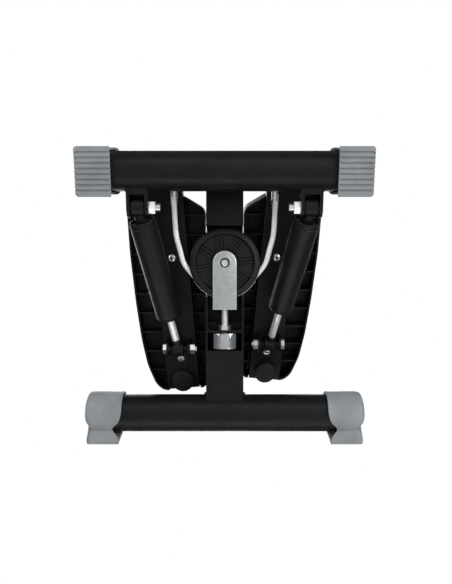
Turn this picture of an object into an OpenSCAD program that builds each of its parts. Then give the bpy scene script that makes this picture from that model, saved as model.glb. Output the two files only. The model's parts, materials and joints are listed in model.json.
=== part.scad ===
// Mini stepper: a floor frame of two round cross tubes and a rising centre tube,
// two pedal arms that swing on one axle at the toe end, a hydraulic damper under
// each arm, and a cable over a pulley that makes one pedal rise as the other sinks.
// X is across the machine, +Y is forward (toes), +Z is up. Z = 0 is the floor.

/* [Floor frame] */
// Outer diameter of both cross tubes
tube_d = 50; // [46:1:54]
// Wall of the steel tubes
tube_wall = 2; // [1.5:0.5:3]
// Distance between the two cross tube axes
tube_spacing = 324; // [318:2:330]
// Overall width over the end caps
overall_w = 377; // [371:2:385]
// Height of the cross tube axes above the floor
foot_h = 32; // [31:1:35]

/* [Centre tube] */
// Width and height of the square centre tube
main_w = 50; // [50:1:52]
// Rise of the centre tube towards the front, degrees
slope = 12.6; // [12:0.2:13]
// Height of its lower face above the floor at the middle
main_z = 51; // [50:1:53]
// Rear edge of the window in the lower wall, along the tube
window_rear = -75; // [-77:1:-74]
// Front edge of the window in the lower wall, along the tube
window_front = 93; // [92:1:96]

/* [Pedal arms] */
// Height of the arm axle above the floor
pivot_z = 117; // [116:1:120]
// Diameter of the arm axle
axle_d = 20; // [18:1:20]
// Arm length from the axle to the heel end
arm_l = 308; // [304:1:310]
// Arm tube width
arm_w = 45; // [43:1:46]
// Arm tube height
arm_h = 25; // [22:1:26]
// Angle of the right arm at rest, heel up positive, degrees
right_rest = -4.2; // [-4.6:0.1:-4]
// Angle of the left arm at rest, heel up positive, degrees
left_rest = 3.5; // [3.2:0.1:3.8]

/* [Pulley and cable] */
// Pulley diameter over its flanges
pulley_d = 96; // [92:1:97]
// Pulley thickness
pulley_t = 18; // [16:1:18]
// Cable diameter
cable_d = 7; // [5:0.5:7]

/* [Dampers] */
// Outer diameter of the damper cylinder
damper_d = 35; // [32:1:36]
// Diameter of the piston rod
rod_d = 10; // [9:1:10]

/* [Hidden] */

$fn = 64;
eps = 0.01;              // overshoot of a cut past a face
gap = 0.05;              // radial clearance of a turning fit
RIGHT = 1;
LEFT = -1;

// Cross tubes
tube_r = tube_d / 2;
rear_seat = 4;           // how much further out the rear caps sit
cap_dome = 10.5;         // bulge of the caps' outer ends
front_y = tube_spacing / 2 + 1;
rear_y = -tube_spacing / 2 + 1;
tube_half = overall_w / 2 - rear_seat - cap_dome;

// End caps
cap_inner_x = 137.5;     // inner edge of the foot
cap_lip = 6;             // how far the round part reaches inwards beyond it
cap_outer_x = overall_w / 2 - rear_seat - 4;
cap_wall = 4;
cap_r = tube_r + cap_wall;
cap_base = 60;           // front to back
rib_pitch = 6.5;

// Front post
post_d = 40;
post_top = 150;
post_rear_y = front_y - post_d / 2;

// Adjuster, pulley and clevis, in the centre tube's own directions
pulley_s = 43;           // along the tube
pulley_n = 14;           // above the tube's lower face
strap_t = 3;
strap_w = 32;
strap_gap = pulley_t + 2;
strap_end_s = -20;
plate_s = -51;
knob_d = 41;
knob_l = 22;
bolt_r = 6;              // pulley bolt
adj_r = 4.5;             // adjuster rod

// Arms
arm_x = 83;              // arm centre at the axle
toe_in = 4.5;            // the arms come closer towards the heels
sleeve_r = 15;
sleeve_half = 24;
bush_r = 12.5;

// Dampers: the eye on the frame and the pin under the arm
eye_x = 109;
eye_y = 118;
eye_z = 30;
pin_x = 65;
pin_back = 246;          // pin behind the axle, right arm at rest
pin_drop = 43;           // pin below the axle, right arm at rest
pin_r = 4;
rod_end_half = 7.6;
eye_w = 17;
eye_bolt_r = 5;
eye_r = 12;
neck_r = 9;
body_start = 17;
body_end = 161;

// Cable anchor on the arm, measured from the axle
anchor_x = 68;
anchor_back = 20;
anchor_drop = 35;
ferrule_l = 28;

// ---------- placing ----------

// The centre tube's own directions: X across, Y along, Z up from its lower face
module on_slope() {
    translate([0, 0, main_z]) rotate([slope, 0, 0]) children();
}

// An arm's own directions: the origin on the axle, -Y towards the heel
module on_arm(angle) {
    translate([0, front_y, pivot_z]) rotate([-angle, 0, 0]) children();
}

// Along the arm tube itself, which is turned in at the heel
module along_arm(side) {
    translate([side * arm_x, 0, 0]) rotate([0, 0, side * -toe_in]) children();
}

module x_rod(r, x1, x2) {
    translate([min(x1, x2), 0, 0]) rotate([0, 90, 0]) cylinder(r = r, h = abs(x2 - x1));
}

module hex_x(across, x1, x2) {
    translate([min(x1, x2), 0, 0]) rotate([0, 90, 0])
        cylinder(d = across / cos(30), h = abs(x2 - x1), $fn = 6);
}

// ---------- frame ----------

module cross_tube(y) {
    color("#1b1c1e") translate([0, y, foot_h]) difference() {
        x_rod(tube_r, -tube_half, tube_half);
        x_rod(tube_r - tube_wall, -tube_half - 1, tube_half + 1);
    }
}

module tube_space(y) {
    translate([0, y, foot_h]) x_rod(tube_r, -60, 60);
}

// Square tube with a long window in its lower wall for the pulley and the knob
module main_tube() {
    rear_s = -161;
    front_s = 175;
    inner = main_w - 2 * tube_wall;
    color("#1b1c1e") difference() {
        on_slope() difference() {
            translate([-main_w / 2, rear_s, 0]) cube([main_w, front_s - rear_s, main_w]);
            translate([-inner / 2, rear_s - 1, tube_wall])
                cube([inner, front_s - rear_s + 2, inner]);
            translate([-inner / 2, window_rear, -1])
                cube([inner, window_front - window_rear, tube_wall + 2]);
            // side slots that let the pulley's flanges stand out
            translate([-main_w, window_front - 96, -1]) cube([2 * main_w, 96, 27]);
        }
        tube_space(rear_y);
        translate([-100, post_rear_y, 0]) cube([200, 100, 300]);
    }
}

module front_post() {
    inner_w = main_w - 2 * tube_wall;
    inner_d = post_d - 2 * tube_wall;
    color("#1b1c1e") difference() {
        translate([-main_w / 2, post_rear_y, foot_h]) cube([main_w, post_d, post_top - foot_h]);
        translate([-inner_w / 2, post_rear_y + tube_wall, foot_h - 1])
            cube([inner_w, inner_d, post_top - foot_h + 2]);
        tube_space(front_y);
        translate([0, front_y, pivot_z]) x_rod(axle_d / 2, -60, 60);
    }
}

module post_plug() {
    inner_w = main_w - 2 * tube_wall;
    inner_d = post_d - 2 * tube_wall;
    color("#151515") {
        translate([-main_w / 2, post_rear_y, post_top]) cube([main_w, post_d, 3]);
        translate([-inner_w / 2, post_rear_y + tube_wall, post_top - 12])
            cube([inner_w, inner_d, 12 + eps]);
    }
}

// ---------- arm axle ----------

axle_end = 109.5;
stud_r = 6;

module arm_axle() {
    color("#9a9da0") translate([0, front_y, pivot_z]) {
        x_rod(axle_d / 2, -axle_end, axle_end);
        x_rod(stud_r, -axle_end - 13, axle_end + 13);
    }
}

module axle_spacers() {
    color("#1b1c1e") translate([0, front_y, pivot_z])
        for (side = [LEFT, RIGHT]) difference() {
            x_rod(13, side * main_w / 2, side * 56.8);
            x_rod(axle_d / 2, side * 20, side * 60);
        }
}

module axle_washers() {
    color("#c9ccce") translate([0, front_y, pivot_z])
        for (side = [LEFT, RIGHT]) difference() {
            x_rod(14, side * axle_end, side * (axle_end + 2.5));
            x_rod(stud_r, side * 100, side * 120);
        }
}

module axle_nuts() {
    color("#c9ccce") translate([0, front_y, pivot_z])
        for (side = [LEFT, RIGHT]) difference() {
            hex_x(19, side * (axle_end + 2.5), side * (axle_end + 12));
            x_rod(stud_r, side * 100, side * 130);
        }
}

// ---------- damper mountings on the frame ----------

// Two ears and a web on the back of the front tube
module damper_bracket(side) {
    ear_t = 4;
    ear_in = eye_w / 2 + 1;
    ear_r = 13;
    web_t = 3;
    reach = front_y - eye_y;
    color("#1b1c1e") difference() {
        translate([side * eye_x, eye_y, eye_z]) {
            for (s = [LEFT, RIGHT])
                translate([s * (ear_in + ear_t / 2), 0, 0]) difference() {
                    union() {
                        x_rod(ear_r, -ear_t / 2, ear_t / 2);
                        translate([-ear_t / 2, 0, -ear_r]) cube([ear_t, reach, 2 * ear_r]);
                    }
                    x_rod(eye_bolt_r, -ear_t, ear_t);
                }
            translate([-ear_in, reach - tube_r - 3, -ear_r])
                cube([2 * ear_in, tube_r, 2 * ear_r]);
            translate([-ear_in, 0, eye_r + 0.6]) cube([2 * ear_in, reach, web_t]);
        }
        translate([side * eye_x, front_y, foot_h]) x_rod(tube_r, -40, 40);
    }
}

// Screwed into the outer ear, with a nut and thread end inside
module damper_bolts() {
    ear_out = eye_w / 2 + 5;
    color("#d5d8da") for (side = [LEFT, RIGHT])
        translate([side * eye_x, eye_y, eye_z]) {
            x_rod(eye_bolt_r, side * (ear_out + 1), side * -(ear_out + 14));
            hex_x(15, side * -ear_out, side * -(ear_out + 8));
        }
}

// ---------- cable tensioner ----------

// Angle plate across the inside of the centre tube, which the knob pulls on
module adjuster_plate() {
    inner = main_w - 2 * tube_wall;
    color("#1b1c1e") on_slope() difference() {
        union() {
            translate([-inner / 2, plate_s, tube_wall]) cube([inner, 3, inner]);
            translate([-inner / 2, plate_s, 30]) cube([inner, 13, 3]);
        }
        translate([0, plate_s - 1, pulley_n]) rotate([-90, 0, 0]) cylinder(r = adj_r, h = 20);
    }
}

// Zinc-plated strap folded round the pulley
module pulley_clevis() {
    color("#c4c8ca") on_slope() difference() {
        union() {
            for (n = [pulley_n - strap_gap / 2 - strap_t, pulley_n + strap_gap / 2])
                translate([0, 0, n]) {
                    translate([0, pulley_s, 0]) cylinder(d = strap_w, h = strap_t);
                    translate([-strap_w / 2, strap_end_s, 0])
                        cube([strap_w, pulley_s - strap_end_s, strap_t]);
                }
            translate([-strap_w / 2, strap_end_s, pulley_n - strap_gap / 2 - strap_t])
                cube([strap_w, strap_t, strap_gap + 2 * strap_t]);
        }
        translate([0, pulley_s, -10]) cylinder(r = bolt_r, h = 60);
        translate([0, strap_end_s - 1, pulley_n]) rotate([-90, 0, 0])
            cylinder(r = adj_r, h = 10);
    }
}

module adjuster_rod() {
    color("#d5d8da") on_slope() translate([0, 0, pulley_n]) {
        translate([0, plate_s - knob_l + 3, 0]) rotate([-90, 0, 0])
            cylinder(r = adj_r, h = strap_end_s + strap_t + 3 - plate_s + knob_l - 3);
        // head inside the strap
        translate([0, strap_end_s + strap_t, 0]) rotate([-90, 0, 0])
            cylinder(r = 6.5, h = 4);
    }
}

module adjuster_nut() {
    color("#e2e4e5") on_slope() translate([0, plate_s + 3, pulley_n]) difference() {
        rotate([-90, 0, 0]) cylinder(d = 14 / cos(30), h = 6.5, $fn = 6);
        translate([0, -1, 0]) rotate([-90, 0, 0]) cylinder(r = adj_r, h = 10);
    }
}

module pulley_bolt() {
    low = pulley_n - strap_gap / 2 - strap_t;
    high = pulley_n + strap_gap / 2 + strap_t;
    color("#d5d8da") on_slope() translate([0, pulley_s, 0]) {
        translate([0, 0, low - 2]) cylinder(r = bolt_r, h = high - low + 8);
        translate([0, 0, high]) cylinder(d = 18 / cos(30), h = 5, $fn = 6);
    }
}

// Chromed hand nut on the end of the adjuster rod
module adjuster_knob() {
    chamfer = 1;
    color("#b9bec2") on_slope() translate([0, plate_s - 0.2, pulley_n]) rotate([90, 0, 0])
        difference() {
            rotate_extrude() polygon([[0, 0], [knob_d / 2 - chamfer, 0], [knob_d / 2, chamfer],
                [knob_d / 2, knob_l - chamfer], [knob_d / 2 - chamfer, knob_l], [0, knob_l]]);
            translate([0, 0, -1]) cylinder(r = adj_r + gap, h = knob_l + 2);
        }
}

// Grooved black wheel: raised rim, hub and eight groups of three short ribs
module pulley() {
    r = pulley_d / 2;
    t = pulley_t / 2;
    hub_r = 18;
    rim_in = r - 8;
    recess = 4;
    groove_r = r - 7;
    rib_t = 1.6;
    color("#1a1a1b") on_slope() translate([0, pulley_s, pulley_n]) {
        rotate_extrude($fn = 96) polygon([
            [10, -t], [hub_r, -t], [hub_r + 1, -t + recess], [rim_in, -t + recess],
            [rim_in + 3, -t], [r - 2, -t], [r, -t + 2], [r, -6.5], [groove_r, -4],
            [groove_r, 4], [r, 6.5], [r, t - 2], [r - 2, t], [rim_in + 3, t],
            [rim_in, t - recess], [hub_r + 1, t - recess], [hub_r, t], [10, t]]);
        for (k = [0 : 7], offset_x = [-4.2, 0, 4.2])
            rotate([0, 0, 45 * k - 9.5]) translate([offset_x - rib_t / 2, hub_r + 2, -t + 1])
                cube([rib_t, rim_in - hub_r - 3, recess - 1 + eps]);
    }
}

module pulley_bush() {
    color("#c2a35a") on_slope() translate([0, pulley_s, pulley_n - pulley_t / 2 - 0.5])
        difference() {
            cylinder(r = 10, h = pulley_t + 1);
            translate([0, 0, -1]) cylinder(r = bolt_r + gap, h = pulley_t + 3);
        }
}

// ---------- cable ----------

// Route of the right half, from near the arm to where it meets the pulley
cable_side = [[69, 100, 78], [67, 84, 76.5], [61, 58, 75], [55, 38, 73.5]];
wrap_r = pulley_d / 2 - 3;
wrap_steps = 14;

function slope_point(x, s, n) =
    [x, s * cos(slope) - n * sin(slope), main_z + s * sin(slope) + n * cos(slope)];

// Half turn round the back of the pulley, right to left
cable_wrap = [for (k = [0 : wrap_steps])
    let (a = -24 - (132 * k) / wrap_steps)
    slope_point(wrap_r * cos(a), pulley_s + wrap_r * sin(a), pulley_n)];

function mirrored(points) =
    [for (i = [len(points) - 1 : -1 : 0]) [-points[i][0], points[i][1], points[i][2]]];

function unit(v) = v / norm(v);

// Tube along a route: a ring of flat sides square to the route at every point
module swept_tube(route, r, sides) {
    last = len(route) - 1;
    tangent = [for (i = [0 : last])
        unit(route[min(i + 1, last)] - route[max(i - 1, 0)])];
    across = [for (t = tangent) unit(cross(t, [0, 0, 1]))];
    rings = [for (i = [0 : last], k = [0 : sides - 1])
        let (a = 360 * k / sides, up = cross(across[i], tangent[i]))
        route[i] + r * (cos(a) * across[i] + sin(a) * up)];
    faces = concat(
        [[for (k = [0 : sides - 1]) k]],
        [[for (k = [sides - 1 : -1 : 0]) last * sides + k]],
        [for (i = [0 : last - 1], k = [0 : sides - 1])
            let (a = i * sides + k, b = i * sides + (k + 1) % sides)
            [a, a + sides, b + sides, b]]);
    polyhedron(rings, faces, convexity = 6);
}

module pulley_cable() {
    route = concat(cable_side, cable_wrap, mirrored(cable_side));
    color("#cfd1cf") swept_tube(route, cable_d / 2, 8);
}

// ---------- arms ----------

screw_back = [122, 266];     // pedal screws behind the axle
bumper_back = 298;
bumper_r = 15;
bumper_t = 10;

module arm(side, angle) {
    color("#1f2022") on_arm(angle) difference() {
        union() {
            along_arm(side) difference() {
                translate([-arm_w / 2, -arm_l, -arm_h / 2]) cube([arm_w, arm_l, arm_h]);
                translate([-arm_w / 2 + tube_wall, -arm_l - 1, -arm_h / 2 + tube_wall])
                    cube([arm_w - 2 * tube_wall, arm_l - sleeve_r, arm_h - 2 * tube_wall]);
                for (back = screw_back)
                    translate([0, -back, -20]) cylinder(r = 3, h = 40);
                translate([-arm_w, -4, -arm_h]) cube([2 * arm_w, 20, 2 * arm_h]);
            }
            translate([side * arm_x, 0, 0]) x_rod(sleeve_r, -sleeve_half, sleeve_half);
        }
        translate([side * arm_x, 0, 0]) x_rod(bush_r, -sleeve_half - 9, sleeve_half + 9);
    }
}

module arm_plug(side, angle) {
    inner_w = arm_w - 2 * tube_wall;
    inner_h = arm_h - 2 * tube_wall;
    color("#121212") on_arm(angle) along_arm(side) {
        translate([-inner_w / 2, -arm_l, -inner_h / 2]) cube([inner_w, 14, inner_h]);
        translate([-arm_w / 2, -arm_l - 2.5, -arm_h / 2]) cube([arm_w, 2.5, arm_h]);
    }
}

// Two flanged bushes pressed into the sleeve
module arm_bushes(side, angle) {
    color("#dcd9cf") on_arm(angle) translate([side * arm_x, 0, 0])
        for (s = [LEFT, RIGHT]) difference() {
            union() {
                x_rod(bush_r, s * 4, s * sleeve_half);
                x_rod(sleeve_r, s * sleeve_half, s * (sleeve_half + 2));
            }
            x_rod(axle_d / 2 + gap, s * 3, s * (sleeve_half + 3));
        }
}

module bumper(side, angle) {
    color("#101010") on_arm(angle) along_arm(side)
        translate([0, -bumper_back, -arm_h / 2]) rotate([180, 0, 0])
            rotate_extrude() polygon([[0, 0], [bumper_r, 0], [bumper_r, bumper_t - 2],
                [bumper_r - 2, bumper_t], [0, bumper_t]]);
}

module pedal_screws(side, angle) {
    color("#d5d8da") on_arm(angle) along_arm(side) for (back = screw_back)
        translate([0, -back, 0]) {
            translate([0, 0, -arm_h / 2]) cylinder(r = 3, h = arm_h + 6);
            translate([0, 0, -arm_h / 2 - 4]) cylinder(r1 = 3.6, r2 = 5, h = 4);
        }
}

// ---------- pedal ----------

plate_low = 20;
plate_high = 24;
rim_top = 30;
skirt_low = -2;
pedal_wall = 3;

// Outline of the right pedal in plan, from the toe's inner corner round to the heel
pedal_outline = [[60, -34], [92, -30], [120, -40], [137, -58], [134, -118], [127, -188],
    [120, -240], [112, -278], [100, -307], [88, -317], [26, -312], [27, -54]];

module pedal_plan(side, inset) {
    mirror([side < 0 ? 1 : 0, 0, 0]) offset(delta = -inset) polygon(pedal_outline);
}

// Moulded tray: a tread plate with a rim above, a skirt and cross ribs below
module pedal(side, angle) {
    ribs = 9;
    rib_gap = 28;
    color("#161617") on_arm(angle) difference() {
        union() {
            difference() {
                translate([0, 0, skirt_low]) linear_extrude(rim_top - skirt_low)
                    pedal_plan(side, 0);
                translate([0, 0, skirt_low - 1]) linear_extrude(plate_low - skirt_low + 1)
                    pedal_plan(side, pedal_wall);
                translate([0, 0, plate_high]) linear_extrude(rim_top)
                    pedal_plan(side, pedal_wall);
            }
            intersection() {
                translate([0, 0, skirt_low + 4]) linear_extrude(plate_low - skirt_low - 4 + eps)
                    pedal_plan(side, pedal_wall - eps);
                for (k = [0 : ribs - 1])
                    translate([side > 0 ? 0 : -200, -64 - k * rib_gap, skirt_low])
                        cube([200, 3, 30]);
            }
        }
        along_arm(side) {
            translate([-arm_w / 2 - 2, -arm_l - 20, -arm_h / 2 - 5])
                cube([arm_w + 4, arm_l + 20, arm_h + 5]);
            for (back = screw_back) translate([0, -back, 0]) cylinder(r = 3, h = plate_low - 1);
        }
    }
}

// ---------- cable ends on the arm ----------

module cable_lug(side, angle) {
    plate_t = 4;
    x0 = anchor_x + 6;
    color("#1b1c1e") on_arm(angle) difference() {
        union() {
            translate([side * x0 - (side < 0 ? plate_t : 0), -anchor_back - 10, -anchor_drop])
                cube([plate_t, 20, anchor_drop - arm_h / 2]);
            translate([0, -anchor_back, -anchor_drop]) x_rod(10, side * x0, side * (x0 + plate_t));
        }
        translate([0, -anchor_back, -anchor_drop]) x_rod(3, side * 50, side * 100);
    }
}

// Eye and crimped sleeve on the cable's end, with the bolt through the eye
module cable_ferrule(side, angle) {
    color("#d5d8da") on_arm(angle) translate([0, -anchor_back, -anchor_drop]) {
        x_rod(3, side * (anchor_x - 5), side * (anchor_x + 13));
        hex_x(10, side * (anchor_x + 10), side * (anchor_x + 15));
        x_rod(5.5, side * (anchor_x - 5), side * (anchor_x - 7.5));
        x_rod(7, side * (anchor_x - 4), side * (anchor_x + 4));
        translate([side * anchor_x, 0, 0]) rotate([90 - 3, 0, 0]) cylinder(r = 4.8, h = ferrule_l);
    }
}

// ---------- dampers ----------

// The pin in the arm's own directions, from its place on the right arm at rest
pin_y_local = -pin_back * cos(right_rest) + pin_drop * sin(right_rest);
pin_z_local = -pin_back * sin(right_rest) - pin_drop * cos(right_rest);
lug_in = 13.5;
lug_t = 3;

// Two ears under the arm
module damper_lug(side, angle) {
    color("#1b1c1e") on_arm(angle) difference() {
        for (s = [LEFT, RIGHT]) {
            x0 = side * pin_x + s * (lug_in + lug_t / 2) - lug_t / 2;
            translate([x0, pin_y_local - 11, pin_z_local])
                cube([lug_t, 22, -arm_h / 2 - pin_z_local]);
            translate([0, pin_y_local, pin_z_local]) x_rod(11, x0, x0 + lug_t);
        }
        translate([0, pin_y_local, pin_z_local]) x_rod(pin_r, side * 20, side * 120);
    }
}

module damper_pin(side, angle) {
    half = lug_in + lug_t;
    color("#d5d8da") on_arm(angle) translate([side * pin_x, pin_y_local, pin_z_local]) {
        x_rod(pin_r, -side * (half + 9), side * (half + 3));
        hex_x(13, side * half, side * (half + 5));
        hex_x(13, -side * half, -side * (half + 6.5));
    }
}

// Where the pin is at rest on an arm at the given angle
function pin_at(side, angle) = [side * pin_x,
    front_y + pin_y_local * cos(angle) + pin_z_local * sin(angle),
    pivot_z - pin_y_local * sin(angle) + pin_z_local * cos(angle)];

function eye_at(side) = [side * eye_x, eye_y, eye_z];

// A damper's own directions: the origin in its eye, +Z towards the arm's pin
module on_damper(side, angle) {
    d = pin_at(side, angle) - eye_at(side);
    flat = norm([d[1], d[2]]);
    translate(eye_at(side))
        rotate([-atan2(d[1], d[2]), 0, 0])
            rotate([0, atan2(d[0], flat), 0]) children();
}

function damper_l(side, angle) = norm(pin_at(side, angle) - eye_at(side));

piston_z = 112;
damper_wall = 3.5;
bore_r = damper_d / 2 - damper_wall;
cavity_z = body_start + 8;

module damper_cylinder(side, angle) {
    edge = 5;
    color("#202123") difference() {
        union() {
            on_damper(side, angle) difference() {
                rotate_extrude() polygon([[0, 0], [neck_r, 0], [neck_r, body_start],
                    [damper_d / 2 - 2, body_start], [damper_d / 2, body_start + 2],
                    [damper_d / 2, body_end - edge], [damper_d / 2 - edge, body_end],
                    [0, body_end]]);
                translate([0, 0, cavity_z])
                    cylinder(r = bore_r, h = body_end - 12 - cavity_z);
                translate([0, 0, cavity_z + 1])
                    cylinder(r = rod_d / 2 + gap, h = body_end - cavity_z);
            }
            translate(eye_at(side)) x_rod(eye_r, -eye_w / 2, eye_w / 2);
        }
        translate(eye_at(side)) x_rod(eye_bolt_r + gap, -eye_w, eye_w);
        // the neck is no wider than the eye
        for (s = [LEFT, RIGHT]) translate(eye_at(side) + [s * (eye_w / 2 + 10), 0, 0])
            cube([20, 27, 27], center = true);
    }
}

module damper_rod(side, angle) {
    color("#d9dcde") on_damper(side, angle)
        translate([0, 0, piston_z]) cylinder(r = rod_d / 2,
            h = damper_l(side, angle) - 9 - piston_z);
}

module damper_piston(side, angle) {
    color("#8f9396") on_damper(side, angle) translate([0, 0, piston_z]) difference() {
        cylinder(r = bore_r - gap, h = 12);
        translate([0, 0, -1]) cylinder(r = rod_d / 2, h = 14);
    }
}

module rod_end(side, angle) {
    color("#151515") difference() {
        union() {
            translate(pin_at(side, angle)) x_rod(10, -rod_end_half, rod_end_half);
            on_damper(side, angle) translate([0, 0, damper_l(side, angle) - 14])
                cylinder(r = 7, h = 9);
        }
        translate(pin_at(side, angle)) x_rod(pin_r + 1, -12, 12);
        on_damper(side, angle) translate([0, 0, damper_l(side, angle) - 40])
            cylinder(r = rod_d / 2, h = 31);
    }
}

// ---------- end caps ----------

// Foot outline seen along the tube
cap_profile = [[-cap_base / 2, -foot_h], [cap_base / 2, -foot_h],
    [cap_base / 2, -foot_h + 2], [24.5, -15], [cap_r - 4, 0],
    [-cap_r + 4, 0], [-24.5, -15], [-cap_base / 2, -foot_h + 2]];

// Cap for the right end of a tube, its ribbed foot pointing down
module cap_shape() {
    length = cap_outer_x - cap_inner_x;
    difference() {
        union() {
            x_rod(cap_r, cap_inner_x - cap_lip, tube_half);
            translate([tube_half, 0, 0]) rotate([0, 90, 0]) rotate_extrude()
                polygon(concat([[0, 0]],
                    [for (a = [0 : 10 : 90]) [cap_r * cos(a), cap_dome * sin(a)]]));
            translate([cap_inner_x, 0, 0]) rotate([90, 0, 90])
                linear_extrude(length) polygon(cap_profile);
        }
        x_rod(tube_r + gap, cap_inner_x - 2 * cap_lip, tube_half + 1);
        // hollow of the foot, open towards the middle of the machine
        translate([cap_inner_x - 1, 0, 0]) rotate([90, 0, 90]) linear_extrude(length - 7)
            polygon([[-cap_base / 2 + 4, -foot_h + 4], [cap_base / 2 - 4, -foot_h + 4],
                [18, -tube_r + 3], [-18, -tube_r + 3]]);
        for (k = [-3.5 : 1 : 3.5])
            translate([cap_inner_x - 1, k * rib_pitch - 1, -foot_h - 1])
                cube([length + 10, 2, 2.2]);
    }
}

module end_cap(side, y, turn, out) {
    color("#8d9296") translate([side * out, y, foot_h]) rotate([turn, 0, 0])
        mirror([side < 0 ? 1 : 0, 0, 0]) cap_shape();
}

// ---------- nodes ----------

cross_tube(front_y);  // front_tube
cross_tube(rear_y);  // rear_tube
main_tube();
front_post();
post_plug();
arm_axle();
axle_spacers();
axle_washers();
axle_nuts();
damper_bracket(RIGHT);  // right_damper_bracket
damper_bracket(LEFT);  // left_damper_bracket
damper_bolts();
adjuster_plate();
pulley_clevis();
adjuster_rod();
adjuster_nut();
pulley_bolt();
pulley_cable();
pulley();
pulley_bush();
adjuster_knob();
arm(RIGHT, right_rest);  // right_arm
arm_plug(RIGHT, right_rest);  // right_arm_plug
arm_bushes(RIGHT, right_rest);  // right_arm_bushes
pedal(RIGHT, right_rest);  // right_pedal
pedal_screws(RIGHT, right_rest);  // right_pedal_screws
bumper(RIGHT, right_rest);  // right_bumper
cable_lug(RIGHT, right_rest);  // right_cable_lug
cable_ferrule(RIGHT, right_rest);  // right_cable_ferrule
damper_lug(RIGHT, right_rest);  // right_damper_lug
damper_pin(RIGHT, right_rest);  // right_damper_pin
arm(LEFT, left_rest);  // left_arm
arm_plug(LEFT, left_rest);  // left_arm_plug
arm_bushes(LEFT, left_rest);  // left_arm_bushes
pedal(LEFT, left_rest);  // left_pedal
pedal_screws(LEFT, left_rest);  // left_pedal_screws
bumper(LEFT, left_rest);  // left_bumper
cable_lug(LEFT, left_rest);  // left_cable_lug
cable_ferrule(LEFT, left_rest);  // left_cable_ferrule
damper_lug(LEFT, left_rest);  // left_damper_lug
damper_pin(LEFT, left_rest);  // left_damper_pin
damper_cylinder(RIGHT, right_rest);  // right_damper_cylinder
damper_rod(RIGHT, right_rest);  // right_damper_rod
damper_piston(RIGHT, right_rest);  // right_damper_piston
rod_end(RIGHT, right_rest);  // right_rod_end
damper_cylinder(LEFT, left_rest);  // left_damper_cylinder
damper_rod(LEFT, left_rest);  // left_damper_rod
damper_piston(LEFT, left_rest);  // left_damper_piston
rod_end(LEFT, left_rest);  // left_rod_end
end_cap(RIGHT, front_y, 0, 0);  // front_right_cap
end_cap(LEFT, front_y, 0, 0);  // front_left_cap
end_cap(RIGHT, rear_y, -90, rear_seat);  // rear_right_cap
end_cap(LEFT, rear_y, -90, rear_seat);  // rear_left_cap
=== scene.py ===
import json
import math

import bmesh
import bpy
from mathutils import Matrix, Vector


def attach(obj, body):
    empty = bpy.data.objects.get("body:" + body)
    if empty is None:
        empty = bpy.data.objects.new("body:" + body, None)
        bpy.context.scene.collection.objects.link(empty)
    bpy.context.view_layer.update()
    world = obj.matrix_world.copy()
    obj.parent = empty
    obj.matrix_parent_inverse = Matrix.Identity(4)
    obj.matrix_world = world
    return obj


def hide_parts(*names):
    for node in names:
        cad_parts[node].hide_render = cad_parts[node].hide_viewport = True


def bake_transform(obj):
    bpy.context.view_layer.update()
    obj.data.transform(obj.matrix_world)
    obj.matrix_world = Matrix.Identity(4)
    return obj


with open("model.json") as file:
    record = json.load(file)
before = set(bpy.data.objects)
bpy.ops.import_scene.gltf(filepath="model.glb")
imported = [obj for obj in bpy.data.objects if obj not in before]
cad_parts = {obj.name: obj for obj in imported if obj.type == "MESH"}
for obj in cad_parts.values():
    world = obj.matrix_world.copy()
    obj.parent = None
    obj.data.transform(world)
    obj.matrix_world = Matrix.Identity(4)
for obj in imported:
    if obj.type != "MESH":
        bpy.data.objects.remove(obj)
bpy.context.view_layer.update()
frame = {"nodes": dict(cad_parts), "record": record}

# Sizes in millimetres and angles in degrees, in the row frame: X across, +Y toes, +Z up.
# S runs along the sloping centre tube and N stands square on it, towards the pedals.
MM = 0.001
RIGHT, LEFT = 1, -1
NAME = {RIGHT: "right", LEFT: "left"}
FRONT_Y, REAR_Y, FOOT_H, TUBE_R = 163, -161, 32, 25         # the two cross tubes
CAP_R, FOOT_HALF, REAR_SEAT = 29, 30, 4                     # the rear caps sit further out
POST_REAR_Y = 143
SLOPE, MAIN_Z, MAIN_W = 12.6, 51, 50                        # centre tube
PIVOT_Z = 117
ARM_X, ARM_W, ARM_H, TOE_IN = 83, 45, 25, 4.5
REST = {RIGHT: -4.2, LEFT: 3.5}                             # the arms' angles in the photo
PULLEY_S, PULLEY_N, PULLEY_R, PULLEY_T = 43, 14, 48, 18
WRAP_R, CABLE_R = 45, 3.5
STRAP_GAP, STRAP_T, STRAP_W, STRAP_END_S = 20, 3, 32, -20   # the strap folded round the pulley
PLATE_S = -51
KNOB_R, KNOB_L, ROD_R = 20.5, 22, 4.5
EYE = {RIGHT: (109, 118, 30), LEFT: (-109, 118, 30)}        # the dampers' lower ends
PIN_X, PIN_BACK, PIN_DROP = 65, -248.48, -24.87             # their upper ends, in the arm's frame
DAMPER_R, BODY_START, BODY_END = 17.5, 17, 161
ANCHOR_X, ANCHOR_BACK, ANCHOR_DROP, FERRULE_L = 68, 20, 35, 28
SCREW_BACK = (122, 266)
BUMPER_BACK, BUMPER_R, BUMPER_T = 298, 15, 10


# ---------- frames ----------

def move(x, y, z):
    return Matrix.Translation((x, y, z))


def turn(degrees, axis):
    return Matrix.Rotation(math.radians(degrees), 4, axis)


def arm_frame(side):
    """The pivot's frame at the arm's rest angle, with the arm running to -Y."""
    return move(0, FRONT_Y, PIVOT_Z) @ turn(-REST[side], "X")


def arm_tube_frame(side):
    return arm_frame(side) @ move(side * ARM_X, 0, 0) @ turn(-side * TOE_IN, "Z")


def pin_at(side):
    return arm_frame(side) @ Vector((side * PIN_X, PIN_BACK, PIN_DROP))


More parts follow.
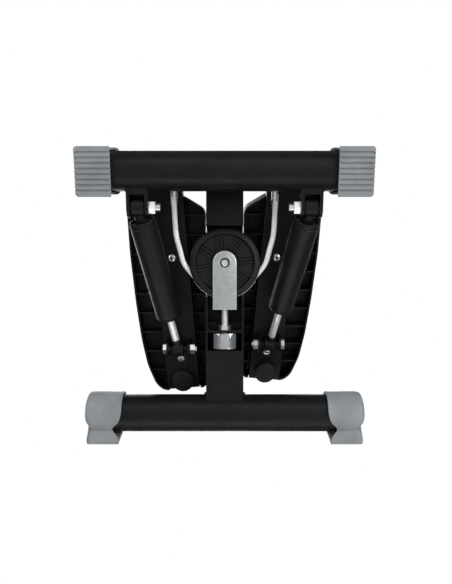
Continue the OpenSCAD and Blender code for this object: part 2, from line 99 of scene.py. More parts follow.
def looking_along(origin, direction):
    """A frame at origin with +Z along direction and +X as near to the row's +X as it goes."""
    z = Vector(direction).normalized()
    y = z.cross(Vector((1, 0, 0))).normalized()
    x = y.cross(z)
    m = Matrix((x, y, z)).transposed().to_4x4()
    m.translation = Vector(origin)
    return m


def damper_frame(side):
    return looking_along(EYE[side], pin_at(side) - Vector(EYE[side]))


def cap_frame(side, y, angle, seat):
    """The cross tube's axis, mirrored so that +X points outwards on both sides."""
    return move(side * seat, y, FOOT_H) @ turn(angle, "X") @ Matrix.Diagonal((side, 1, 1, 1))


def on_slope(x, s, n):
    return SLOPED @ Vector((x, s, n))


IN_PLACE = Matrix.Identity(4)
SLOPED = move(0, 0, MAIN_Z) @ turn(SLOPE, "X")
PULLEY_PLACE = SLOPED @ move(0, PULLEY_S, PULLEY_N)
ALONG_X = turn(90, "Y")


# ---------- mesh building ----------

def circle(cx, cy, r, start, stop, steps):
    """Points on an arc, from one angle to another."""
    angles = [math.radians(start + (stop - start) * k / steps) for k in range(steps + 1)]
    return [(cx + r * math.cos(a), cy + r * math.sin(a)) for a in angles]


def rounded(points, radius, steps=4):
    """A closed outline with its corners rounded."""
    out = []
    count = len(points)
    for i, p in enumerate(points):
        p, a, b = Vector(p), Vector(points[i - 1]), Vector(points[(i + 1) % count])
        cut = min(radius, (a - p).length * 0.45, (b - p).length * 0.45)
        start, end = p + (a - p).normalized() * cut, p + (b - p).normalized() * cut
        for k in range(steps + 1):
            t = k / steps
            out.append((1 - t) ** 2 * start + 2 * t * (1 - t) * p + t * t * end)
    return out


def inset(outline, by):
    """A closed outline moved inwards; it runs counter-clockwise."""
    count = len(outline)
    out = []
    for i in range(count):
        along = (Vector(outline[(i + 1) % count]) - Vector(outline[i - 1])).normalized()
        out.append(Vector(outline[i]) + Vector((-along.y, along.x)) * by)
    return out


def crossings(outline, y):
    """Where a level line crosses a closed outline: its lowest and highest x, or None."""
    xs = []
    for a, b in zip(outline, list(outline[1:]) + [outline[0]]):
        if (a[1] - y) * (b[1] - y) < 0:
            xs.append(a[0] + (b[0] - a[0]) * (y - a[1]) / (b[1] - a[1]))
    return (min(xs), max(xs)) if len(xs) > 1 else None


ON_AXIS = 1e-6          # a profile point nearer the axis than this is on it


class Piece:
    """Solids in millimetres, each placed by a matrix, gathered into one mesh."""

    def __init__(self, place):
        self.bm = bmesh.new()
        self.place = place

    def add(self, points, faces, at=IN_PLACE):
        m = self.place @ at
        made = [self.bm.verts.new((m @ Vector(p)) * MM) for p in points]
        for face in faces:
            self.bm.faces.new([made[i] for i in face])

    def loft(self, rings, at=IN_PLACE, close_first=True, close_last=True):
        """Joins rings of equally many points, and closes the first and the last with a face."""
        n = len(rings[0])
        points = [p for ring in rings for p in ring]
        faces = [(k * n + i, k * n + (i + 1) % n, (k + 1) * n + (i + 1) % n, (k + 1) * n + i)
                 for k in range(len(rings) - 1) for i in range(n)]
        if close_first:
            faces.append(tuple(range(n - 1, -1, -1)))
        if close_last:
            faces.append(tuple(range(len(points) - n, len(points))))
        self.add(points, faces, at)

    def lathe(self, profile, at=IN_PLACE, sides=64):
        """Turns (radius, height) points about +Z. The profile closes on itself or on the axis."""
        points, rings = [], []
        for r, z in profile:
            if r < ON_AXIS:
                rings.append([len(points)])
                points.append((0, 0, z))
            else:
                rings.append(list(range(len(points), len(points) + sides)))
                points += [(r * math.cos(a), r * math.sin(a), z)
                           for a in (2 * math.pi * i / sides for i in range(sides))]
        pairs = list(zip(rings, rings[1:]))
        if profile[0][0] > ON_AXIS and profile[-1][0] > ON_AXIS:
            pairs.append((rings[-1], rings[0]))
        faces = []
        for a, b in pairs:
            for i in range(sides):
                j = (i + 1) % sides
                if len(a) == 1:
                    faces.append((a[0], b[i], b[j]))
                elif len(b) == 1:
                    faces.append((a[i], a[j], b[0]))
                else:
                    faces.append((a[i], a[j], b[j], b[i]))
        self.add(points, faces, at)

    def prism(self, outline, low, high, at=IN_PLACE):
        self.loft([[(p[0], p[1], z) for p in outline] for z in (low, high)], at)

    def block(self, low, high, at=IN_PLACE):
        (x0, y0, z0), (x1, y1, z1) = low, high
        self.prism([(x0, y0), (x1, y0), (x1, y1), (x0, y1)], z0, z1, at)

    def sweep(self, path, radii, sides=16):
        """A round tube along a path; radii is one number or one for each point."""
        path = [Vector(p) for p in path]
        if not isinstance(radii, list):
            radii = [radii] * len(path)
        rings = []
        normal = None
        for i, p in enumerate(path):
            along = (path[min(i + 1, len(path) - 1)] - path[max(i - 1, 0)]).normalized()
            if normal is None:
                normal = along.orthogonal().normalized()
            normal = (normal - along * normal.dot(along)).normalized()
            other = along.cross(normal)
            rings.append([p + radii[i] * (math.cos(a) * normal + math.sin(a) * other)
                          for a in (2 * math.pi * k / sides for k in range(sides))])
        self.loft(rings)

    def weld(self, path, size=2.2):
        """A row of overlapping weld drops along straight runs between the points."""
        beads = []
        for a, b in zip(path, path[1:]):
            a, b = Vector(a), Vector(b)
            count = max(4, int((b - a).length / (size * 0.35)))
            beads += [a.lerp(b, k / count) for k in range(count)]
        beads.append(Vector(path[-1]))
        radii = [size * (0.82 + 0.18 * math.sin(k * 1.45) + 0.06 * math.sin(k * 0.61))
                 for k in range(len(beads))]
        radii[0] = radii[-1] = size * 0.3
        self.sweep(beads, radii, 10)

    def face_outwards(self):
        """Turns an open shell's faces away from its middle."""
        faces = self.bm.faces
        middle = sum((f.calc_center_median() for f in faces), Vector()) / len(faces)
        if sum(f.normal.dot(f.calc_center_median() - middle) * f.calc_area() for f in faces) < 0:
            bmesh.ops.reverse_faces(self.bm, faces=faces)

    def done(self, name, body, slot, bevel=0.0, stands_for=(), wall=0.0, blend=None):
        """Makes the object and says which body it rides on and which nodes it replaces.
        wall turns an open surface into a shell. With blend the piece rides on no body and keeps its
        place in the row frame; the bodies and points in blend are not used."""
        bmesh.ops.recalc_face_normals(self.bm, faces=self.bm.faces)
        if wall:
            self.face_outwards()
        mesh = bpy.data.meshes.new(name)
        self.bm.to_mesh(mesh)
        self.bm.free()
        piece = bpy.data.objects.new(name, mesh)
        bpy.context.scene.collection.objects.link(piece)
        mesh.materials.append(MATERIALS[slot])
        shade(piece)
        if wall:
            shell = piece.modifiers.new("wall", "SOLIDIFY")
            shell.thickness = wall * MM
            shell.offset = -1
        if bevel:
            soften(piece, bevel)
        if stands_for:
            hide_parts(*stands_for)
        if blend:
            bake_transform(piece)
        else:
            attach(piece, body)
        return piece


def shade(piece):
    """Smooth faces with sharp creases."""
    piece.data.polygons.foreach_set("use_smooth", [True] * len(piece.data.polygons))
    piece.data.set_sharp_from_angle(angle=math.radians(32))


def soften(piece, width):
    """A narrow bevel on the edges, so that they catch the light."""
    edge = piece.modifiers.new("soft_edges", "BEVEL")
    edge.width = width * MM
    edge.segments = 2
    edge.limit_method = "ANGLE"
    edge.angle_limit = math.radians(35)
    edge.harden_normals = True


# ---------- materials ----------

class Nodes:
    """A node material made from a few lines each."""

    def __init__(self, name):
        self.material = bpy.data.materials.new(name)
        self.material.use_nodes = True
        self.tree = self.material.node_tree
        self.shader = self.tree.nodes["Principled BSDF"]
        self.place = self.tree.nodes.new("ShaderNodeTexCoord").outputs["Object"]

    def add(self, kind, **inputs):
        node = self.tree.nodes.new(kind)
        for key, value in inputs.items():
            socket = node.inputs[key.replace("_", " ")]
            if isinstance(value, bpy.types.NodeSocket):
                self.tree.links.new(value, socket)
            else:
                socket.default_value = value
        return node

    def noise(self, scale, detail=3.0, stretch=None):
        place = self.place
        if stretch:
            mapping = self.add("ShaderNodeMapping", Vector=place)
            mapping.inputs["Scale"].default_value = stretch
            place = mapping.outputs["Vector"]
        grain = self.add("ShaderNodeTexNoise", Vector=place, Scale=scale, Detail=detail)
        return grain.outputs["Fac"]

    def cells(self, scale):
        return self.add("ShaderNodeTexVoronoi", Vector=self.place, Scale=scale).outputs["Distance"]

    def span(self, value, low, high, at=(0.3, 0.7)):
        """Maps the range that noise mostly stays in, at, to low and high."""
        node = self.add("ShaderNodeMapRange", Value=value)
        node.inputs["From Min"].default_value, node.inputs["From Max"].default_value = at
        node.inputs["To Min"].default_value, node.inputs["To Max"].default_value = low, high
        return node.outputs["Result"]

    def blend(self, fac, a, b):
        """Mixes two colours; a mix node's colour sockets are found by place, not by name."""
        node = self.tree.nodes.new("ShaderNodeMix")
        node.data_type = "RGBA"
        self.tree.links.new(fac, node.inputs["Factor"])
        first, second, result = node.inputs[6], node.inputs[7], node.outputs[2]
        first.default_value, second.default_value = (*a, 1), (*b, 1)
        return result

    def bump(self, height, strength, depth, under=None):
        node = self.add("ShaderNodeBump", Height=height, Strength=strength, Distance=depth)
        if under:
            self.tree.links.new(under, node.inputs["Normal"])
        return node.outputs["Normal"]

    def finish(self, **inputs):
        for key, value in inputs.items():
            socket = self.shader.inputs[key.replace("_", " ")]
            if isinstance(value, bpy.types.NodeSocket):
                self.tree.links.new(value, socket)
            else:
                socket.default_value = value
        return self.material


def painted(name, colour, rough):
    """Satin powder coat: soft orange peel, a little dust and uneven gloss."""
    n = Nodes(name)
    light = tuple(c * 1.5 + 0.002 for c in colour)
    peel = n.bump(n.noise(420, 2), 0.22, 0.0004)
    return n.finish(
        Base_Color=n.blend(n.span(n.noise(38, 5), 0, 1), colour, light),
        Roughness=n.span(n.noise(95, 4), rough - 0.06, rough + 0.08),
        Normal=n.bump(n.noise(2600, 2), 0.25, 0.0001, peel), Specular_IOR_Level=0.19)


def moulded(name, colour, rough, grain=1700, depth=0.00022, gloss=0.24):
    """Moulded plastic or rubber: spark-eroded grain with faint flow marks."""
    n = Nodes(name)
    light = tuple(c * 1.35 + 0.002 for c in colour)
    flow = n.bump(n.noise(60, 2), 0.08, 0.0008)
    return n.finish(
        Base_Color=n.blend(n.span(n.noise(30, 6), 0, 1), colour, light),
        Roughness=n.span(n.noise(140, 5), rough - 0.05, rough + 0.07),
        Normal=n.bump(n.cells(grain), 0.35, depth, flow), Specular_IOR_Level=gloss)


def metal(name, colour, rough, stretch, scratch=0.12, patches=0.06, metallic=1.0):
    """Plated metal: drawn marks along one direction over a lightly mottled plating."""
    n = Nodes(name)
    dull = tuple(c * 0.82 for c in colour)
    marks = n.noise(900, 2, stretch)
    return n.finish(
        Base_Color=n.blend(n.span(n.noise(180, 5), 0, 1), dull, colour),
        Metallic=metallic,
        Roughness=n.span(n.noise(240, 4), rough - patches / 2, rough + patches),
        Normal=n.bump(marks, scratch, 0.0001))


MATERIALS = {
    "frame_paint": painted("satin_black_powder_coat", (0.003, 0.0032, 0.0036), 0.4),
    "damper_paint": painted("damper_black_paint", (0.004, 0.0042, 0.0048), 0.38),
    "plug_plastic": moulded("plug_plastic", (0.004, 0.004, 0.0043), 0.5),
    "pulley_plastic": moulded("pulley_plastic", (0.0035, 0.0037, 0.004), 0.4, 1400, 0.00022, 0.3),
    "pedal_plastic": moulded("pedal_plastic", (0.0026, 0.0026, 0.0028), 0.46, 1100, 0.0003),
    "rod_end_plastic": moulded("rod_end_plastic", (0.0035, 0.0035, 0.0037), 0.4),
    "bumper_rubber": moulded("bumper_rubber", (0.0075, 0.0077, 0.008), 0.62, 2400),
    "cap_plastic": moulded("cap_plastic", (0.19, 0.205, 0.217), 0.52, 1300, 0.0003, 0.4),
    "bush_nylon": moulded("natural_nylon", (0.68, 0.66, 0.58), 0.4, 2600, 0.0001, 0.5),
    "cable_sheath": moulded("cable_sheath", (0.9, 0.91, 0.9), 0.3, 3200, 0.0001, 0.5),
    "zinc_steel": metal("bright_zinc", (0.8, 0.82, 0.84), 0.22, (1, 1, 6), 0.12, 0.06, 0.82),
    "rod_zinc": metal("drawn_zinc_rod", (0.86, 0.88, 0.9), 0.3, (6, 1, 1), 0.1, 0.06, 0.6),
    "clevis_steel": metal("strap_zinc", (0.6, 0.63, 0.64), 0.32, (1, 5, 1), 0.04, 0.03),
    "bush_brass": metal("sintered_brass", (0.62, 0.46, 0.2), 0.38, (1, 1, 1)),
    "knob_chrome": metal("polished_chrome", (0.62, 0.65, 0.68), 0.07, (1, 6, 1), 0.04, 0.03),
    "rod_chrome": metal("hard_chrome", (0.92, 0.94, 0.96), 0.34, (1, 6, 1), 0.05, 0.04, 0.5),
}

SLOT_OF = {entry["node"]: entry["material_slot"] for entry in frame["record"]["subparts"]}
for node, piece in frame["nodes"].items():
    piece.data.materials.clear()
    piece.data.materials.append(MATERIALS[SLOT_OF[node]])
    shade(piece)
    soften(piece, 1.4 if node == "pulley_clevis" else 0.5)   # the strap is bent, with round edges


# ---------- end caps ----------

CREASE = 31                            # where the foot meets the round back, degrees below the axis
WAIST_AT, WAIST_SPREAD = 0.31, 0.13    # above the foot, as shares of the cap's height
WAIST_IN, LIP_OUT, WAIST_DISH = 8.5, 4.5, 5.5


def cap_section(x, foot, half, r, groove, inner, outer):
    """One slice of a cap across the tube: ribbed base, flared sides and a round back.
    At the inner edge (inner = 1) the waist steps back and the lip stands proud; at the outer end
    (outer = 1) the waist is dished. foot is the depth of the base, half its half width, r the
    back's radius, and groove the share of the grooves' depth."""
    pitch, ridge, low, deep = 6.5, 1.5, 2.8, 1.7 * groove
    base = [(-FOOT_HALF, -foot)]
    for k in range(-4, 5):
        base += [(k * pitch - ridge, -foot), (k * pitch + ridge, -foot)]
        if k < 4:
            base += [(k * pitch + low, -foot + deep), ((k + 1) * pitch - low, -foot + deep)]
    base = [(y * half / FOOT_HALF, z) for y, z in base] + [(half, -foot)]
    waist = Vector((r * math.cos(math.radians(CREASE)), -r * math.sin(math.radians(CREASE))))
    edge = Vector((half, -foot + 1.5))
    flare = [edge.lerp(waist, k / 6) for k in range(6)]
    back = [(r * math.cos(math.radians(a)), r * math.sin(math.radians(a)))
            for a in range(-CREASE, 181 + CREASE, 8)]
    back.append((-waist.x, waist.y))
    points = base + flare + back + [(-y, z) for y, z in reversed(flare)]
    out = []
    for y, z in points:
        up = (z + FOOT_H) / (FOOT_H + CAP_R)     # 0 at the base, 1 at the back
        waisted = math.exp(-((up - WAIST_AT) / WAIST_SPREAD) ** 2)
        lip = min(1, max(0, (up - 0.4) / 0.3))
        drawn = inner * (WAIST_IN * waisted - LIP_OUT * lip) - outer * WAIST_DISH * waisted
        out.append((x + drawn, y, z))
    return out


def cap(name, side, y, angle, seat):
    """Slip-on end cap with a ribbed foot, open towards the middle of the machine."""
    slices = [   # distance along the tube, then cap_section's other arguments
        (137.5, 32, 30, 28.4, 1, 1, 0), (137.9, 32, 30, 29, 1, 1, 0), (140, 32, 30, 29, 1, 0.9, 0),
        (141, 32, 30, 28.6, 1, 0.87, 0), (148, 32, 30, 28.8, 1, 0.4, 0), (157, 32, 30, 29, 1, 0, 0),
        (168, 32, 30, 29, 1, 0, 0.2), (174, 32, 30, 29, 1, 0, 0.6),
        (177.4, 32, 30, 28.6, 1, 0, 0.85), (179.6, 32, 28.2, 27.6, 1, 0, 1),
        (180.5, 31.4, 27.2, 26.4, 1, 0, 1), (181.4, 27, 23.5, 24.6, 0.3, 0, 1),
        (182.6, 21, 17, 21, 0, 0, 0.9), (183.7, 14, 10, 15, 0, 0, 0.6), (184.4, 7, 4, 7, 0, 0, 0)]
    piece = Piece(cap_frame(side, y, angle, seat))
    piece.loft([cap_section(*one) for one in slices], close_first=False)
    piece.done(name, name, "cap_plastic", stands_for=[name], wall=2.6)


cap("front_right_cap", RIGHT, FRONT_Y, 0, 0)
cap("front_left_cap", LEFT, FRONT_Y, 0, 0)
cap("rear_right_cap", RIGHT, REAR_Y, -90, REAR_SEAT)
cap("rear_left_cap", LEFT, REAR_Y, -90, REAR_SEAT)


# ---------- pulley, clevis and adjuster ----------

wheel = Piece(PULLEY_PLACE)
t = PULLEY_T / 2
side_face = [(10, t), (16.6, t), (17.4, t - 0.6), (17.8, t - 5.6), (38.6, t - 5.6), (39.6, t - 0.8),
             (40.4, t), (42, t), (PULLEY_R - 0.6, t - 1.9), (PULLEY_R, t - 2.4),
             (PULLEY_R - 0.2, 6.2), (41.2, 4)]
wheel.lathe([(r, -z) for r, z in side_face] + [(r, z) for r, z in reversed(side_face)], sides=128)
for k in range(8):                     # eight groups of three ribs on each side
    for x in (-4.6, 0, 4.6):
        for side in (1, -1):
            top, floor = side * (t - 1), side * (t - 6)
            wheel.block((x - 1.15, 22, min(top, floor)), (x + 1.15, 38, max(top, floor)),
                        turn(45 * k - 9.5, "Z"))
for side in (1, -1):                   # the ring that the ribs start from
    wheel.lathe([(20.2, side * (t - 5.8)), (20.4, side * (t - 1.4)), (22, side * (t - 1.4)),
                 (22.2, side * (t - 5.8))])
wheel.done("pulley_wheel", "pulley", "pulley_plastic", 0.25, ["pulley"])

bolt = Piece(PULLEY_PLACE)
boss = Piece(PULLEY_PLACE)
seat = Piece(PULLEY_PLACE)
skin = Piece(PULLEY_PLACE)
strap = STRAP_GAP / 2 + STRAP_T        # the strap's outer faces, from the pulley's middle
boss.lathe([(6.4, -strap + 0.4), (6.5, -strap - 0.3), (7.2, -strap - 0.5), (8.6, -strap - 0.4),
            (10.2, -strap - 0.1), (11, -strap + 0.3)])
# seat: a black ring round the bolt between its head and the boss, painted shade where the bolt
# meets the strap
seat.lathe([(4.8, -strap), (4.9, -strap - 0.5), (6.5, -strap - 0.5), (6.6, -strap)])
bolt.lathe([(0, -strap - 0.9), (1.6, -strap - 0.9), (2.2, -strap - 1.7), (3.8, -strap - 1.8),
            (4.7, -strap - 1.1), (4.9, -strap), (5.8, strap), (5.8, strap + 5.4), (5.2, strap + 6),
            (0, strap + 6)], sides=48)
hexagon = circle(0, 0, 1, 0, 300, 5)
bolt.loft([[(x * r, y * r, z) for x, y in hexagon]
           for r, z in ((10.4, strap), (10.4, strap + 4.4), (9.4, strap + 5))])
boss.done("clevis_boss", "frame", "clevis_steel")
end = STRAP_END_S - PULLEY_S
outline = [(STRAP_W / 2, end), *circle(0, 0, STRAP_W / 2, 0, 180, 24), (-STRAP_W / 2, end)]
skin.loft([[(*p, z) for p in inset(outline, by)] for by, z in (
    (-0.15, 1.6 - strap), (-0.15, 1 - strap), (0.15, 0.4 - strap), (0.7, -0.05 - strap),
    (1.5, -0.25 - strap))])
skin.done("clevis_rolled_edges", "frame", "clevis_steel")
# the black ring is painted shade round the bolt, not a part of its own
seat.done("clevis_bolt_shade_ring", "frame", "plug_plastic")
bolt.done("clevis_bolt", "frame", "zinc_steel", 0, ["pulley_bolt"])

rod = Piece(SLOPED @ move(0, PLATE_S - KNOB_L + 3, PULLEY_N) @ turn(-90, "X"))
rod_l = STRAP_END_S + STRAP_T + 3 - PLATE_S + KNOB_L - 3
thread_end, thread_step = KNOB_L + 8, 0.8
thread = [(0, 0), (ROD_R - 0.8, 0)]
for k in range(1, int(thread_end / thread_step)):
    thread.append((ROD_R if k % 2 else ROD_R - 0.5, thread_step * k))
rod.lathe(thread + [(ROD_R, thread_end), (ROD_R, rod_l - 3), (6.5, rod_l - 3), (6.5, rod_l + 0.4),
                    (5.6, rod_l + 1), (0, rod_l + 1)], sides=40)
rod.done("threaded_adjuster_rod", "frame", "rod_zinc", 0, ["adjuster_rod"])

knob = Piece(SLOPED @ move(0, PLATE_S - 0.2, PULLEY_N) @ turn(90, "X"))
rim = [(KNOB_R - 1.9, 0), (KNOB_R - 0.9, 0.3), (KNOB_R - 0.2, 1), (KNOB_R, 2)]
knob.lathe([(4.6, 0.6), (5, 0)] + rim + [(r, KNOB_L - z) for r, z in reversed(rim)]
           + [(9, KNOB_L), (8.2, 21.4), (5.4, 21.4), (4.6, 20.6)], sides=160)
knob.done("chrome_knob", "knob", "knob_chrome", 0, ["adjuster_knob"])


# ---------- cable ----------

def smooth_path(points, per_span=5):
    """A Catmull-Rom curve through the points."""
    points = [Vector(p) for p in points]
    ends = [points[0] * 2 - points[1]] + points + [points[-1] * 2 - points[-2]]
    out = []
    for a, b, c, d in zip(ends, ends[1:], ends[2:], ends[3:]):
        for k in range(per_span):
            t = k / per_span
            out.append(0.5 * (2 * b + (c - a) * t + (2 * a - 5 * b + 4 * c - d) * t ** 2
                              + (3 * b - a - 3 * c + d) * t ** 3))
    return out + [points[-1]]


for side in (RIGHT, LEFT):             # from the pulley's lowest point to the ferrule on each arm
    arm = arm_frame(side)
    ferrule = arm @ Vector((side * ANCHOR_X, -ANCHOR_BACK - FERRULE_L + 4, -ANCHOR_DROP - 1.3))
    inside = arm @ Vector((side * ANCHOR_X, -ANCHOR_BACK - FERRULE_L + 10, -ANCHOR_DROP - 0.9))
    wrap = [on_slope(side * x, s, PULLEY_N) for x, s in circle(0, PULLEY_S, WRAP_R, -90, -24, 11)]
    run = [(side * 55, 38, 73.5), (side * 61, 58, 75), (side * 66, 80, 76.6), ferrule, inside]
    strand = Piece(IN_PLACE)
    strand.sweep(smooth_path(wrap + run), CABLE_R, 20)
    leaves_pulley = Vector((side * 58, 50, 75))
    strand.done(f"cable_{NAME[side]}", None, "cable_sheath", 0, ["pulley_cable"],
                blend=("frame", f"{NAME[side]}_arm", leaves_pulley * MM, ferrule * MM))


# ---------- pedals ----------

# The right pedal's outline in the arm's frame, and its heights
PEDAL = [(26, -312), (88, -317), (100, -307), (112, -278), (120, -240), (127, -188), (134, -118),
         (137, -58), (120, -40), (92, -30), (60, -34), (27, -54)]
SKIRT_LOW, RIM_HIGH = -2, 30
DECK_LOW, DECK_HIGH = 20, 24
RIBS_TOP = DECK_LOW + 0.5
ARM_NOTCH = 12.6                       # just above the arm tube


def pedal(side):
    """Moulded tray: skirt with a notch for the arm, tread plate, ribs below and treads above."""
    name = f"{NAME[side]}_pedal"
    body = f"{NAME[side]}_arm"
    plan = rounded(PEDAL, 9, 6)
    dense = []
    for a, b in zip(plan, plan[1:] + plan[:1]):
        steps = max(1, int((b - a).length / 2))
        dense += [a.lerp(b, k / steps) for k in range(steps)]
    inner = inset(dense, 2.6)
    arm_axis = arm_frame(RIGHT).inverted() @ arm_tube_frame(RIGHT)
    to_tube = arm_axis.inverted()

    def skirt_low(p):
        across = (to_tube @ Vector((p.x, p.y, 0))).x
        return ARM_NOTCH if abs(across) < ARM_W / 2 - 1 else SKIRT_LOW

    place = arm_frame(side) @ Matrix.Diagonal((side, 1, 1, 1))
    tray = Piece(place)
    lows = [skirt_low(p) for p in dense]
    tray.loft([[(p.x, p.y, z) for p, z in zip(dense, lows)],
               [(p.x, p.y, RIM_HIGH - 1.4) for p in dense],
               [(p.x, p.y, RIM_HIGH - 0.3) for p in inset(dense, 0.5)],
               [(p.x, p.y, RIM_HIGH) for p in inset(dense, 1.3)],
               [(p.x, p.y, RIM_HIGH - 0.4) for p in inset(dense, 2.3)],
               [(p.x, p.y, RIM_HIGH - 2) for p in inner],
               [(p.x, p.y, z + 0.02) for p, z in zip(inner, lows)],
               [(p.x, p.y, z) for p, z in zip(dense, lows)]], close_first=False, close_last=False)
    tray.prism(inset(dense, 2.2), DECK_LOW, DECK_HIGH)
    slot_half = ARM_W / 2 + 0.6

    def bar(y, thick, low, high, margin, split_at_arm):
        """A bar from side to side, or one on each side of the arm tube."""
        found = crossings([tuple(p) for p in inset(dense, margin)], y)
        if not found:
            return
        centre = arm_axis @ Vector((0, y, 0))
        runs = [(found[0], centre.x - slot_half),
                (centre.x + slot_half, found[1])] if split_at_arm else [found]
        for x0, x1 in runs:
            if x1 - x0 > 3:
                tray.block((x0, y - thick / 2, low), (x1, y + thick / 2, high))

    for k in range(9):                                     # ribs below
        bar(-62.5 - 28 * k, 2.6, 2, RIBS_TOP, 2.3, True)
    for k in range(26):                                    # treads above
        bar(-52 - 9.6 * k, 3.2, DECK_HIGH - 0.5, DECK_HIGH + 1.6, 9, False)
    for across in (-ARM_W / 2 - 2.2, ARM_W / 2 + 2.2):     # walls beside the arm tube
        path = [arm_axis @ Vector((across, y, 0)) for y in (-42, -304)]
        side_step = Vector((0.8, 0, 0))
        tray.prism([path[0] - side_step, path[0] + side_step, path[1] + side_step,
                    path[1] - side_step], 3, RIBS_TOP)
    for back in SCREW_BACK:                                # sockets for the screws
        tray.lathe([(4, ARM_NOTCH), (9, ARM_NOTCH), (9, RIBS_TOP), (4, RIBS_TOP)],
                   arm_axis @ move(0, -back, 0), 32)
    tray.done(name + "_tray", body, "pedal_plastic", 0.35, [name])


pedal(RIGHT)
pedal(LEFT)


# ---------- dampers, bumpers and screws ----------

for side in (RIGHT, LEFT):
    name = NAME[side]
    cylinder = Piece(damper_frame(side))
    cylinder.lathe([(0, 6), (8.6, 6), (8.8, BODY_START + 3), (13.6, BODY_START + 3.2),
                    (14.2, BODY_START + 1)] + circle(15.6, BODY_START + 1.7, 1.4, 190, 270, 4)
                   + circle(16, BODY_START + 1.8, 1.5, 280, 360, 4)
                   + [(DAMPER_R, BODY_START + 6.6), (DAMPER_R - 0.5, BODY_START + 7.2),
                      (DAMPER_R - 0.5, BODY_START + 8), (DAMPER_R, BODY_START + 8.6)]
                   + circle(DAMPER_R - 7, BODY_END - 7, 7, 0, 78, 8)
                   + [(8, BODY_END), (7.4, BODY_END - 1.2), (5.3, BODY_END - 1.4),
                      (5.1, BODY_END - 4), (0, BODY_END - 4)], sides=96)
    eye = cylinder.place.inverted() @ move(*EYE[side]) @ ALONG_X
    eye_half = [(5.1, 8.2), (7.2, 8.5), (7.6, 7.9), (8.4, 7.9), (8.8, 8.5), (11, 8.5), (12, 7.6)]
    cylinder.lathe([(r, -x) for r, x in eye_half] + eye_half[::-1], eye)
    cylinder.done(f"{name}_damper_body", f"{name}_damper", "damper_paint", 0,
                  [f"{name}_damper_cylinder"])

    length = (pin_at(side) - Vector(EYE[side])).length
    end = Piece(damper_frame(side))
    end.lathe([(0, length - 15), (5.8, length - 15), (6.8, length - 13.6), (7, length - 8),
               (0, length - 6)], sides=48)
    pin = end.place.inverted() @ move(*pin_at(side)) @ ALONG_X
    end_half = [(5.1, 7.2), (6.6, 7.6), (7, 7.2), (9.2, 7.2), (9.9, 6.4)]
    end.lathe([(r, -x) for r, x in end_half] + end_half[::-1], pin, 48)
    sleeve = Piece(arm_frame(side) @ move(side * PIN_X, PIN_BACK, PIN_DROP) @ ALONG_X)
    sleeve.lathe([(4, -13.4), (4.15, -13.2), (4.15, 13.2), (4, 13.4)], sides=32)
    sleeve.done(f"{name}_pin_sleeve", f"{name}_arm", "plug_plastic")
    end.done(f"{name}_rod_eye", f"{name}_rod", "rod_end_plastic", 0, [f"{name}_rod_end"])

    tube = arm_tube_frame(side)
    foot = Piece(tube @ move(0, -BUMPER_BACK, -ARM_H / 2) @ turn(180, "X"))
    foot.lathe([(0, 0), (BUMPER_R - 0.6, 0), (BUMPER_R, 0.6)]
               + circle(BUMPER_R - 2.2, BUMPER_T - 2.2, 2.2, 0, 90, 5) + [(0, BUMPER_T)])
    foot.done(f"{name}_bumper_foot", f"{name}_arm", "bumper_rubber", 0, [f"{name}_bumper"])

    heads = Piece(tube)
    # marks holds black bars that paint the shade of each screw head's cross recess
    marks = Piece(tube)
    for back in SCREW_BACK:
        at = move(0, -back, -ARM_H / 2) @ turn(180, "X")
        heads.lathe([(0, -ARM_H - 5), (2.8, -ARM_H - 5), (2.9, 0), (5.4, 0), (5.5, 1.2)]
                    + [(5.5 * math.cos(math.radians(a)), 1.2 + 2.7 * math.sin(math.radians(a)))
                       for a in range(12, 84, 12)] + [(0, 3.9)], at, 40)
        for a in (20, 110):            # black bars for the cross in a screw's head: painted shade of the recess
            marks.block((-2.6, -0.5, 3.2), (2.6, 0.5, 3.95), at @ turn(a, "Z"))
    heads.done(f"{name}_screw_heads", f"{name}_arm", "zinc_steel", 0, [f"{name}_pedal_screws"])
    marks.done(f"{name}_screw_recess_shade", f"{name}_arm", "plug_plastic")


# ---------- welds ----------

def around(tube_y, proud, x, start, stop):
    """An arc round a cross tube, standing proud of it by so much, at x along it."""
    return [(x, y, z) for y, z in circle(tube_y, FOOT_H, TUBE_R + proud, start, stop, 12)]


edge_x = MAIN_W / 2
welds = Piece(IN_PLACE)
for s in (1, -1):
    welds.weld(around(REAR_Y, 0.6, s * (edge_x + 0.8), 20, 86), 2.4)
    welds.weld([(s * (edge_x + 0.6), POST_REAR_Y - 0.8, on_slope(0, n * 0.2, n).z)
                for n in range(4, 50, 6)], 2.0)
    welds.weld(around(FRONT_Y, 0.6, s * (edge_x + 0.8), 38, 142), 2.4)
lower_y, lower_z = circle(REAR_Y, FOOT_H, TUBE_R + 0.8, 22, 22, 1)[0]
for y, z, size in ((lower_y, lower_z, 2.6), (POST_REAR_Y - 0.6, 84, 2.2)):
    welds.weld([(-edge_x, y, z), (edge_x, y, z)], size)
welds.done("frame_welds", "frame", "frame_paint")

plate_welds = Piece(SLOPED)
for s in (1, -1):
    for n in (6, 40):
        plate_welds.weld([(s * 22.4, PLATE_S + 3.2, n), (s * 22.4, PLATE_S + 3.2, n + 8)], 1.8)
plate_welds.done("plate_welds", "frame", "frame_paint")

for side in (RIGHT, LEFT):
    name = NAME[side]
    bracket = Piece(IN_PLACE)
    x = side * EYE[RIGHT][0]
    for s in (1, -1):
        bracket.weld(around(FRONT_Y, 0.4, x + s * 13.8, 152, 208), 1.7)
    bracket.done(f"{name}_bracket_welds", "frame", "frame_paint")
    joint = Piece(arm_frame(side))
    low = -ARM_H / 2 - 0.3
    for x, y, reach in ((side * PIN_X + 16.4, PIN_BACK, 10), (side * PIN_X - 16.4, PIN_BACK, 10),
                        (side * (ANCHOR_X + 5.6), -ANCHOR_BACK, 9)):     # along the lugs
        joint.weld([(x, y - reach, low), (x, y + reach, low)], 1.5)
    joint.weld([(side * ARM_X + x, -14.2, low + 1.5) for x in (-20, 20)], 2)
    joint.done(f"{name}_arm_welds", f"{name}_arm", "frame_paint")


# ---------- floor, light and camera ----------

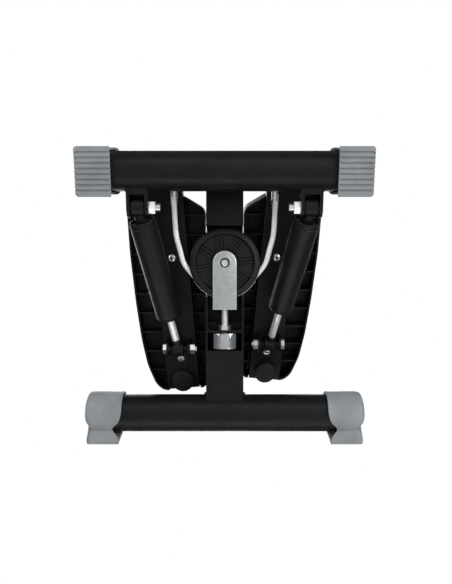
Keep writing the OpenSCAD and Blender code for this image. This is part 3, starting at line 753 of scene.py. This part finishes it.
def area_light(name, at, size, power):
    """A rectangular lamp that looks at the machine; place and size in metres."""
    light = bpy.data.lights.new(name, "AREA")
    light.shape = "RECTANGLE"
    light.size, light.size_y = size
    light.energy = power
    lamp = bpy.data.objects.new(name, light)
    lamp.location = at
    lamp.rotation_euler = (Vector((0, 0, 0.06)) - Vector(at)).to_track_quat("-Z", "Y").to_euler()
    bpy.context.scene.collection.objects.link(lamp)


FLOOR_Z, FLOOR_HALF = -1.6, 6          # metres; low, because the camera stands below the machine
floor_mesh = bpy.data.meshes.new("studio_floor")
floor_mesh.from_pydata([(x * FLOOR_HALF, y * FLOOR_HALF, FLOOR_Z)
                        for x, y in ((-1, -1), (1, -1), (1, 1), (-1, 1))], [], [(0, 1, 2, 3)])
floor = bpy.data.objects.new("studio_floor", floor_mesh)
bpy.context.scene.collection.objects.link(floor)
paper = Nodes("pale_paper")
mottle = paper.blend(paper.span(paper.noise(3), 0, 1), (0.8, 0.8, 0.8), (0.84, 0.84, 0.84))
floor_mesh.materials.append(paper.finish(Base_Color=mottle, Roughness=0.9))

world = bpy.data.worlds.new("studio")
bpy.context.scene.world = world
world.use_nodes = True
tree = world.node_tree
seen = tree.nodes.new("ShaderNodeLightPath").outputs["Is Camera Ray"]
level = tree.nodes.new("ShaderNodeMapRange")        # white backdrop, dimmer as a light
level.inputs["To Min"].default_value, level.inputs["To Max"].default_value = 0.2, 1.0
tree.links.new(seen, level.inputs["Value"])
tree.nodes["Background"].inputs["Color"].default_value = (1, 1, 1, 1)
tree.links.new(level.outputs["Result"], tree.nodes["Background"].inputs["Strength"])

area_light("key_below", (0.1, -1.2, -0.9), (1.6, 0.8), 7)
area_light("fill_left", (1.3, 0.95, -0.5), (1.1, 1.5), 10.5)
area_light("fill_right", (-1.3, 0.95, -0.75), (1.1, 1.5), 23)
area_light("toe_side", (0.1, 1.3, -0.7), (1.8, 0.8), 5)
area_light("overhead", (0.3, -0.5, 1.5), (1.8, 1.8), 26)
area_light("right_strip", (-0.55, -0.4, -0.6), (0.34, 0.7), 0.8)

camera = bpy.data.objects.new("camera", bpy.data.cameras.new("camera"))
camera.data.sensor_width, camera.data.lens = 36, 37.05
pitch = math.radians(SLOPE)
view_z = Vector((0, math.sin(pitch), -math.cos(pitch)))
view_y = Vector((0, math.cos(pitch), math.sin(pitch)))
camera.matrix_world = Matrix((view_y.cross(view_z), view_y, view_z)).transposed().to_4x4()
camera.location = (-0.0017, 0.1795, -0.7347)
bpy.context.scene.collection.objects.link(camera)
bpy.context.scene.camera = camera

bpy.context.scene.view_settings.view_transform = "Standard"
